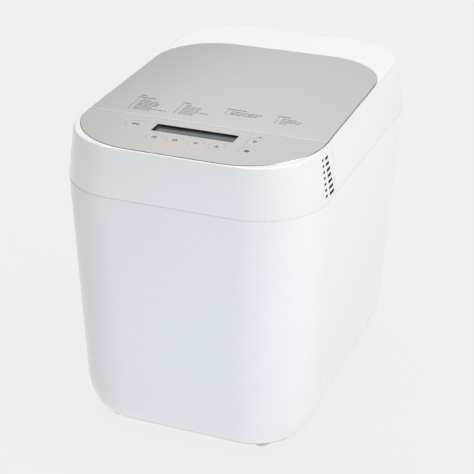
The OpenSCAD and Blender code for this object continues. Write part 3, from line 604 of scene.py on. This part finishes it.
def clip_points(points, y, keep=1):
    """The part of an outline in front of (keep -1) or behind (keep 1) a line across it."""
    out = []
    n = len(points)
    for i in range(n):
        p, q = points[i], points[(i + 1) % n]
        inside = (p[1] - y)*keep >= 0
        if inside:
            out.append(p)
        if inside != ((q[1] - y)*keep >= 0):
            out.append(p + (q - p)*(y - p[1])/(q[1] - p[1]))
    return np.array(out)


def deck_half(y, keep):
    """Everything in front of (keep -1) or behind (keep 1) a line across the deck."""
    return prism(np.array([(-200, y), (200, y), (200, y + FAR*keep), (-200, y + FAR*keep)]), -20, 20)


def button_outlines():
    """Centre and stretch of each round opening, named by its button."""
    out = {}
    for joint in JOINTS:
        if joint.endswith("_press"):
            name = joint.removesuffix("_press")
            x, y = np.mean(box_mm(name), axis=0)[:2]
            stretch = SELECT_STRETCH if name == "select_button" else 0.0
            out[name] = (x, (y - Y_MID)/math.cos(TILT), stretch)
    return out


BUTTONS = button_outlines()


def window_loop(d, r):
    """Outline of the display's opening, pulled in by d, with corners of radius r."""
    return pad(LCD["w"] - 2*d, LCD["d"] - 2*d, r, LCD["x"], LCD["y"], 6)


def control_loops(gap=0.3):
    """Openings for the buttons, a gap wider than each, for the display and for the lamp."""
    loops = [round_loop((x, y), BUTTON_R + gap, s) for x, y, s in BUTTONS.values()]
    return loops + [window_loop(0, 1.5), round_loop(LED, 1.3, n=24)]


def vent_outlines():
    """Slots in the right side, as (y, z) outlines: two columns, longer towards the bottom."""
    out = []
    for i in range(VENT_ROWS):
        z = VENT_LOW_Z + VENT_PITCH*i
        short, long = 6.2 - 0.3*i, 14.4 - 0.9*i
        middle, start = -135.1 - 0.18*i, -126.2 - 0.5*i
        out.append(pad(short, 2.8, 1.1, middle, z + 1.5, 5))
        out.append(pad(long, 3.2, 1.3, start + long/2, z, 5))
    return out


def vents(shell):
    """Cuts the slots and closes them, just under the surface, with near-black matte plugs: the black grille
    behind, and painted shade for the depth of the slots.
    """
    bpy.context.view_layer.update()
    depth, thickness, through = 0.25, 3, (110, 160)
    plugs = []
    for slot in vent_outlines():
        face = []
        for y, z in slot:
            hit = shell.ray_cast(Vector((FAR*MM, y*MM, z*MM)), Vector((-1, 0, 0)))
            face.append((hit[1][0]/MM - depth, y, z))
        face = np.array(face)
        plugs.append(loft("plug", [face - (thickness, 0, 0), face]))
    tools = [loft("slot", [np.column_stack([np.full(len(slot), x), slot]) for x in through])
             for slot in vent_outlines()]
    grille = join("vent_grille_and_painted_shade", plugs)
    extra(grille, "housing", GRILLE_BLACK_AND_PAINTED_SHADE)
    return boolean(shell, tools)


def control_housing():
    """Fixed front part of the upper shell, with the openings for the controls and the vents."""
    shell = upper_form(0)
    tools = [cavity(-FAR, HOUSING_REAR - WALL), pocket(), half_block(HOUSING_REAR, FAR)]
    tools += [prism(loop, -12, 6) for loop in control_loops()]
    # The front edge of the lid's panel lies over a lower step
    step = prism(outline(inset(PANEL, -POCKET_GAP)), PANEL_TOP - PANEL_T - 0.5, 5)
    tools.append(boolean(step, [deck_half(SPLIT_Y - PANEL_GAP/2, 1)], "INTERSECT"))
    shell = vents(boolean(shell, tools))
    shell.name = "control_housing_shell"
    return stand_in(shell, "control_housing", WHITE)


def lid_cover():
    """The part of the upper shell that swings up with the lid."""
    shell = upper_form(0)
    tools = [cavity(LID_FRONT + WALL, FAR), pocket(), half_block(-FAR, LID_FRONT)]
    shell = boolean(shell, tools + hinge_notches(5, 5.8))
    shell.name = "lid_cover_shell"
    return stand_in(shell, "lid_cover", WHITE)


def even_normals(obj):
    """Lets the flat faces rule the shading of the narrow rounded edges beside them."""
    m = obj.modifiers.new("normals", "WEIGHTED_NORMAL")
    m.keep_sharp = True
    apply_modifiers(obj)


def panels():
    """The two silver plates, each with a polished sloping edge where the shell's edge meets it; the lid's
    plate has a pale strip along its front edge, a painted highlight.
    """
    low, slope, lip_w = PANEL_TOP - PANEL_T, 0.55, 1.3
    profile = ((0, low), (0, PANEL_TOP - slope), (slope, PANEL_TOP), (slope, low))
    body = inset(PANEL, slope - 0.1)
    for node, material, keep, holes in (("control_panel", CHAMPAGNE, -1, control_loops(0.15)),
                                        ("lid_panel", SILVER, 1, [])):
        y = SPLIT_Y + keep*PANEL_GAP/2
        outer = clip_points(outline(body, 40), y, keep)
        if node == "lid_panel":
            # A pale strip along the lid plate's front edge is a painted highlight
            lip = plate("lid_panel_highlight_lip", [clip_points(outer, y + lip_w, -1)], low, PANEL_TOP, 0.1)
            extra(lip, "lid", LIP_PAINTED_HIGHLIGHT)
            outer = clip_points(outer, y + lip_w)
        face = plate(node + "_plate", [outer] + holes, low, PANEL_TOP, 0.12)
        even_normals(face)
        stand_in(face, node, material)
        ring = loft("edge", [on_deck(outline(inset(PANEL, d), 40), h) for d, h in profile], loop=True)
        ring = boolean(ring, [deck_half(y, keep)], "INTERSECT")
        ring.name = node + "_edge"
        extra(ring, BODY_OF[node], POLISHED)


def bar(x, y, w, h=1.25):
    """A short printed bar, as a closed outline on the deck; x is its left end."""
    return pad(w, h, 0.3, x + w/2, y, 2)


def print_block(x, y, heads, rows, pitch, seed):
    """Bars set like a printed menu: headings, then rows of words with a number before each."""
    dice = random.Random(seed)
    head_height, head_pitch = 1.5, 5.6
    number_x, text_x = 1.6, 7
    shortest, space = 1.5, 0.9
    bars = []
    for w in heads:
        bars.append(bar(x, y, w, head_height))
        y -= head_pitch
    for w in rows:
        bars.append(bar(x + number_x, y, dice.uniform(1.2, 2.0)))
        at, end = x + text_x, x + text_x + w
        while end - at > shortest:
            length = min(dice.uniform(3, 7), end - at)
            bars.append(bar(at, y, length))
            at += length + space
        y -= pitch
    return bars


def menu_print():
    """Four blocks of plain bars on the lid's panel, where such a machine lists its programmes."""
    # Each block: left end and first line on the deck, widths of headings and of rows, pitch and seed
    bars = print_block(-96.2, -60.4, (7, 21), (10, 21, 23, 24, 23, 19, 37, 19), 3.75, 3)
    bars += print_block(-45.4, -65.2, (10,), (7, 19, 20, 18, 31, 17, 18), 4.0, 5)
    bars += print_block(5.8, -64.6, (22,), (34, 33, 31), 3.5, 7)
    bars += print_block(62.6, -65.2, (14,), (16, 24, 23, 8), 3.9, 9)
    pieces = [plate("bar", [b], PANEL_TOP - 0.02, PANEL_TOP + 0.04, 0.01) for b in bars]
    for piece in pieces:
        piece.data.materials.append(PRINT)
    extra(join("menu_print", pieces), "lid")


def glyph(name, x, y):
    """Plain signs for the buttons, each a list of outlines whose first holds the others as holes."""
    ring = [round_loop((x, y), 2.7, n=24), round_loop((x, y), 1.5, n=24)]
    signs = {
        "select_button": [[bar(x - 4.1, y, 8.2, 2.4)]],
        "menu_button": [[bar(x - 2.5, y + d, 5, 1.0)] for d in (-1.9, 0, 1.9)],
        "size_button": [ring],
        "down_button": [[np.array([(x - 2.6, y + 1.8), (x, y - 2.2), (x + 2.6, y + 1.8)])]],
        "up_button": [[np.array([(x - 2.6, y - 1.8), (x + 2.6, y - 1.8), (x, y + 2.2)])]],
        "start_button": [[np.array([(x - 2.4, y - 2.5), (x + 2.8, y), (x - 2.4, y + 2.5)])]],
        "stop_button": [[pad(4.8, 4.6, 0.5, x, y, 2)]],
    }
    return signs[name]


def buttons():
    """Caps with a shallow dish and a wider foot under the skin, each with its sign."""
    for name, (x, y, stretch) in BUTTONS.items():
        r = BUTTON_R
        # Radius and height: the foot, the wall, the rounded shoulder, and the dish inwards to the middle
        profile = [(0.01, SKIN_LOW - 1.1), (r + 0.8, SKIN_LOW - 1.1), (r + 0.8, SKIN_LOW - 0.1),
                   (r, SKIN_LOW - 0.1), (r, 0.32), (r - 0.1, 0.44), (r - 0.3, 0.5), (r - 0.9, 0.5),
                   (r - 1.6, 0.42), (r - 2.4, 0.38), (3, 0.36), (0.01, 0.35)]
        cap = lathe(name + "_cap", profile, (x, y), stretch)
        stand_in(cap, name, CHAMPAGNE)
        marks = [plate("mark", loops, 0.3, 0.42, 0.02) for loops in glyph(name, x, y)]
        for mark in marks:
            mark.data.materials.append(PRINT)
        extra(join(name + "_mark", marks), BODY_OF[name])


def display():
    """The dark window, deep in its opening, and the thin black surround that lines the opening, painted shade
    on the opening's walls.
    """
    glass_top = -1.6
    glass = plate("display_window", [window_loop(0.4, 1.2)], SKIN_LOW - 1.5, glass_top, 0.1)
    stand_in(glass, "lcd_lens", GLASS)
    # The surround's black is painted shade on the walls of the opening
    loops = [window_loop(0.03, 1.5), window_loop(0.38, 1.2)]
    surround = plate("display_surround_painted_shade", loops, SKIN_LOW - 0.5, PANEL_TOP - 0.1, 0.05)
    extra(surround, "housing", BLACK)


# ---------------------------------------------------------------- chamber, pan and lid lining

AXIS_Y = JOINTS["drive_spin"]["pos_m"][1]/MM


def axis_ring(w, d, r, z):
    """Rounded rectangle round the drive's axis."""
    p = pad(w, d, max(r, 0.5), 0, AXIS_Y, 10)
    return np.column_stack([p, np.full(len(p), z)])


def turn_in(w, d, r, z, radius, steps, side):
    """Rings of a quarter round that turns a wall inwards, below z (side -1) or above it (side 1)."""
    rings = []
    for a in quarter(steps):
        shrink = radius*(1 - math.cos(a))
        rings.append(axis_ring(w - 2*shrink, d - 2*shrink, r - shrink, z + side*radius*math.sin(a)))
    return rings


def bread_pan():
    """Drafted pan with rounded floor edges, a rolled rim and ribs that turn the dough."""
    low, high = box_mm("bread_pan")
    floor, rim = low[2], high[2]
    w, d, draft, t, floor_t = 186, 136, 7, 1.6, 2
    corner_r, bead_r, bore = 24, 1.5, 16.2

    def wall(z, off, corner):
        """Width, depth and corner radius of the drafted wall at a height, pulled in by off."""
        u = (z - floor)/(rim - floor)
        shrink = 2*draft*(1 - u) + 2*off
        return (w - shrink, d - shrink, corner + 4*u - off)

    def floor_edge(base, radius, off, angles):
        """Rings of the rounded edge between a floor at base and the wall."""
        rings = []
        for a in angles:
            z = base + radius*(1 - math.cos(a))
            rings.append(axis_ring(*wall(z, off + radius*(1 - math.sin(a)), corner_r), z))
        return rings

    outer = floor_edge(floor, 7, 0, quarter(7))
    outer.append(axis_ring(*wall(rim - 3.4, 0, corner_r), rim - 3.4))
    # The rim is rolled outwards into a round bead
    roll = []
    for a in np.radians(np.linspace(-80, 180, 11)):
        grow = 2.4 + bead_r*math.cos(a)
        roll.append(axis_ring(w + 2*grow, d + 2*grow, corner_r + 4 + grow, rim - 1.6 + bead_r*math.sin(a)))
    inner = [axis_ring(*wall(rim - 2, t, corner_r), rim - 2)]
    inner += floor_edge(floor + floor_t, 9, t, quarter(9)[::-1])
    hole = [axis_ring(bore, bore, bore/2, z) for z in (floor + floor_t, floor)]
    pan = loft("bread_pan_body", outer + roll + inner + hole, loop=True)
    stand_in(pan, "bread_pan", NONSTICK)
    # Two ribs on each long wall: height and radius at each of a rib's rings
    rib_profile = ((112, 0.5), (114, 3), (120, 4.2), (165, 4.0), (172, 2.6), (175, 0.5))
    rib_x, points = 46, 20
    a = np.linspace(0, 2*math.pi, points, endpoint=False)
    ribs = []
    for side in (-1, 1):
        for x in (-rib_x, rib_x):
            rings = []
            for z, r in rib_profile:
                y = AXIS_Y + side*(d/2 - draft - t) + side*draft*(z - floor)/(rim - floor)
                rings.append(np.column_stack([x + 1.3*r*np.cos(a), y + r*np.sin(a), np.full(points, z)]))
            ribs.append(loft("rib", rings))
    extra(join("pan_ribs", ribs), "pan", NONSTICK)


def tube_tool(x, y, z, r):
    """A round cutter that runs towards -Y through a wall."""
    length, points = 14, 24
    a = np.linspace(0, 2*math.pi, points, endpoint=False)
    return loft("tube_tool", [np.column_stack([x + r*np.cos(a), np.full(points, end), z + r*np.sin(a)])
                              for end in (y, y - length)])


def oven_chamber():
    """Lining with a rounded floor edge and a rolled flange that lies on the deck."""
    low, high = box_mm("oven_chamber")
    w, d, r, t, lip = 226, 196, 36, 1.5, 1.2
    floor, top = low[2] + t, high[2]
    edge_r, bore = 6, 24.6
    outer = turn_in(w + 2*t, d + 2*t, r + t, floor + edge_r, edge_r + t, 6, -1)[::-1]
    # Each ring of the flange: how far it stands out from the lining's inside, and its height
    flange = [axis_ring(w + 2*out, d + 2*out, r + out, z) for out, z in (
        (t, top - lip), (8.8, top - lip), (9, top - lip + 0.3), (9, top - 0.3), (8.6, top),
        (1.5, top), (0.5, top - 0.4), (0, top - 1.5))]
    inner = turn_in(w, d, r, floor + edge_r, edge_r, 6, -1)
    hole = [axis_ring(bore, bore, bore/2, z) for z in (floor, floor - t)]
    lining = loft("chamber_lining", outer + flange + inner + hole, loop=True)
    front = AXIS_Y - d/2 + 5
    z = np.mean(box_mm("heating_element"), axis=0)[2]
    tools = [tube_tool(x, front, z, 3.55) for x in (-16, 16)]
    x, z = np.mean(box_mm("temperature_sensor"), axis=0)[[0, 2]]
    tools.append(tube_tool(x, front, z, 3.4))
    stand_in(boolean(lining, tools), "oven_chamber", CHAMBER)


def lid_lining():
    """Inner cover of the lid: a flange, and a dome with rounded edges that the reflector hangs in."""
    low, high = box_mm("lid_inner_cover")
    w, d, r = 234, 204, 40
    z0, z1 = low[2], high[2]
    front = low[1]
    t, edge_r, steps = 2, 8, 7
    rings = [axis_ring(w - 3, d - 3, r - 1.5, z0 + 1), axis_ring(w - 3, d - 3, r - 1.5, z0 + 1.9),
             axis_ring(w, d, r, z0 + 2)]
    rings += turn_in(w, d, r, z1 - edge_r, edge_r, steps, 1)
    rings += turn_in(w - 2*t, d - 2*t, r - t, z1 - t - edge_r, edge_r, steps, 1)[::-1]
    rings.append(axis_ring(w - 2*t, d - 2*t, r - t, z0 + 3))
    dome = loft("lid_dome", rings, loop=True)
    hole = pad(w - 3.2, d - 3.2, r - 1.6, 0, AXIS_Y, 10)
    edge = clip_points(outline(inset(SEAM, 9), 30) + (0, Y_MID), front)
    flange = plate("lid_flange", [edge, hole], z0, z0 + t, 0.4, place=lambda verts: verts)
    leaf_w = 28
    notches = [block((x - leaf_w/2, REAR - 12, z0 - 1), (x + leaf_w/2, REAR, z0 + 5)) for x in HINGES_X]
    flange = boolean(flange, notches)
    flange.data.materials.append(GREY)
    dome.data.materials.append(GREY)
    stand_in(join("lid_lining", [dome, flange]), "lid_inner_cover", GREY)


# ---------------------------------------------------------------- CAD nodes with softened edges

def soften(node, width, material):
    """A copy of a CAD node with small rounded edges stands in for it."""
    weld, flat, corner = 2e-6, math.radians(0.5), math.radians(35)
    source = frame["nodes"][node].data
    bm = bmesh.new()
    bm.from_mesh(source)
    bmesh.ops.remove_doubles(bm, verts=bm.verts, dist=weld)
    bmesh.ops.dissolve_limit(bm, angle_limit=flat, verts=bm.verts, edges=bm.edges)
    sharp = [e for e in bm.edges if len(e.link_faces) == 2 and e.calc_face_angle() > corner]
    bmesh.ops.bevel(bm, geom=sharp, offset=width*MM, segments=2, profile=0.5, affect="EDGES",
                    clamp_overlap=True)
    mesh = bpy.data.meshes.new(node + "_soft")
    bm.to_mesh(mesh)
    bm.free()
    obj = bpy.data.objects.new(node + "_soft", mesh)
    bpy.context.scene.collection.objects.link(obj)
    mesh.shade_smooth()
    mesh.set_sharp_from_angle(angle=math.radians(30))
    return stand_in(obj, node, material)


def dress(material, *nodes):
    """New material on a CAD node that keeps its own shape."""
    for node in nodes:
        mesh = frame["nodes"][node].data
        mesh.materials.clear()
        mesh.materials.append(material)


def dress_all():
    zinc = plain("zinc", (0.5, 0.52, 0.53), 0.4, 0.8, 200)
    alloy = plain("cast_alloy", (0.3, 0.3, 0.31), 0.5, 0.6, 700)
    board = plain("solder_mask", (0.02, 0.12, 0.05), 0.35, scale=900)
    brass = plain("brass", (0.7, 0.5, 0.2), 0.3, 1.0)
    nylon = plain("nylon", (0.7, 0.67, 0.58), 0.5)
    soft = {
        "base_plate": (0.3, SATIN), "top_deck": (0.4, SATIN), "rubber_feet": (0.5, RUBBER),
        "case_screws": (0.15, STEEL), "chamber_screws": (0.15, STEEL), "lid_screws": (0.15, STEEL),
        "element_clips": (0.4, STEEL), "hinge_brackets": (0.4, alloy), "hinge_leaves": (0.4, alloy),
        "hinge_pins": (0.3, STEEL), "lid_gasket": (0.3, plain("silicone", (0.16, 0.16, 0.17), 0.6)),
        "mains_inlet": (0.4, BLACK), "inlet_pins": (0.3, brass), "handle_lugs": (0.3, STEEL),
        "bail_handle": (0.5, STEEL), "handle_grip": (0.6, BLACK), "kneading_blade": (0.8, NONSTICK),
        "reflector_plate": (0.3, CHAMBER), "pan_base": (0.5, CHAMBER), "pan_bush": (0.3, brass),
        "pan_shaft": (0.4, STEEL), "pan_clips": (0.2, STEEL), "vent_baffle": (0.2, BLACK),
        "drive_coupler": (0.6, GREY), "temperature_sensor": (0.4, STEEL),
    }
    for node, (width, material) in soft.items():
        soften(node, width, material)
    dress(STEEL, "drive_shaft", "motor_pulley")
    dress(BLACK, "lcd_module", "tact_switches", "cooling_fan", "board_components", "drive_belt")
    dress(board, "control_board", "power_board")
    dress(plain("lamp_lens", (0.1, 0.075, 0.075), 0.2), "status_led")
    dress(CHAMBER, "heat_shield")
    dress(plain("heated_sheath", (0.09, 0.08, 0.075), 0.5, 0.7), "heating_element")
    dress(plain("fuse_brown", (0.25, 0.1, 0.05), 0.4), "thermal_fuse")
    dress(zinc, "chassis", "drive_motor")
    dress(alloy, "drive_bearing")
    dress(nylon, "drive_pulley", "ribbon_cable")


# ---------------------------------------------------------------- stage

def stage_floor():
    """A floor that glows evenly, like the plain pale background, save for a painted shadow right under the
    machine.
    """
    far = 12000
    floor = make_object("floor", [(-far, -far, 0), (far, -far, 0), (far, far, 0), (-far, far, 0)],
                        [(0, 1, 2, 3)])
    m = new_material("floor_white", (0.03, 0.03, 0.03), 0.9)
    nodes, links = m.node_tree.nodes, m.node_tree.links
    shader = nodes["Principled BSDF"]
    shader.inputs["Emission Color"].default_value = (1, 1, 1, 1)
    vary(m, "Base Color", noise(m, 3), (0.028, 0.028, 0.028), (0.032, 0.032, 0.032))
    # The glow is weaker right under the machine, a painted shadow inside an ellipse with these half axes in
    # metres
    half_x, half_y = 0.1, 0.16
    coord = nodes.new("ShaderNodeTexCoord")
    scaled = nodes.new("ShaderNodeVectorMath")
    scaled.operation = "MULTIPLY"
    scaled.inputs[1].default_value = (1/half_x, 1/half_y, 0)
    length = nodes.new("ShaderNodeVectorMath")
    length.operation = "LENGTH"
    links.new(coord.outputs["Object"], scaled.inputs[0])
    links.new(scaled.outputs["Vector"], length.inputs[0])
    glow_and_painted_shadow = map_range(m, length.outputs["Value"], 0.75, 1.0, 0.2, 0.812)
    glow_and_painted_shadow.interpolation_type = "SMOOTHSTEP"
    links.new(glow_and_painted_shadow.outputs["Result"], shader.inputs["Emission Strength"])
    floor.data.materials.append(m)


def studio_world():
    world = bpy.data.worlds.new("studio")
    bpy.context.scene.world = world
    world.use_nodes = True
    background = world.node_tree.nodes["Background"]
    background.inputs["Color"].default_value = (0.94, 0.94, 0.965, 1)
    background.inputs["Strength"].default_value = 0.22


def area_light(name, place, aim, size, power, colour=(1, 1, 1), size_y=None):
    light = bpy.data.lights.new(name, "AREA")
    light.color = colour
    light.shape = "RECTANGLE"
    light.size = size
    light.size_y = size_y or size
    light.energy = power
    obj = bpy.data.objects.new(name, light)
    obj.location = place
    obj.rotation_euler = (Vector(aim) - Vector(place)).to_track_quat("-Z", "Y").to_euler()
    bpy.context.scene.collection.objects.link(obj)
    return obj


def lights():
    """Places and sizes in metres, powers in watts."""
    middle = (0, 0, 0.2)
    area_light("top", (0.2, 0.3, 3.2), middle, 2.0, 17)
    # A long narrow light, whose reflection makes the bright line along the front of the crease
    area_light("top_left", (-1.15, 0.4, 3.1), middle, 2.4, 30, size_y=0.95)
    area_light("top_right", (1.4, 0.2, 2.8), middle, 1.6, 21)
    key = area_light("right_front", (2.2, -2.2, 1.6), middle, 1.8, 33.5)
    area_light("right", (3.2, -0.4, 1.2), middle, 2.0, 18)
    area_light("rear", (-0.8, 3.8, 2.6), (0, 0, 0.3), 5.0, 45)
    low = area_light("low_front", (0.03, -0.56, 0.03), (0.03, 0, 0.02), 0.35, 0.4, (0.55, 0.8, 1))
    # Reflections of these two would be bright patches on the machine
    for light in (key, low):
        light.visible_glossy = False


def camera():
    """Camera in front, to the right and above; its place is in metres, its lens in millimetres."""
    yaw, pitch, roll = math.radians(21.03), math.radians(-25.74), 0.0085
    place, focal_length = (0.5049, -1.3346, 0.8491), 104.23
    forward = Vector((-math.sin(yaw)*math.cos(pitch), math.cos(yaw)*math.cos(pitch), math.sin(pitch)))
    right = Vector((math.cos(yaw), math.sin(yaw), 0))
    up = right.cross(forward)
    right, up = right*math.cos(roll) + up*math.sin(roll), up*math.cos(roll) - right*math.sin(roll)
    data = bpy.data.cameras.new("camera")
    data.lens = focal_length
    cam = bpy.data.objects.new("camera", data)
    turn = Matrix((right, up, -forward)).transposed().to_4x4()
    cam.matrix_world = Matrix.Translation(place) @ turn
    bpy.context.scene.collection.objects.link(cam)
    bpy.context.scene.camera = cam


camera()
stage_floor()
studio_world()
lights()
lower_body()
control_housing()
lid_cover()
panels()
buttons()
display()
menu_print()
bread_pan()
oven_chamber()
lid_lining()
dress_all()

bpy.context.scene.view_settings.view_transform = "Standard"
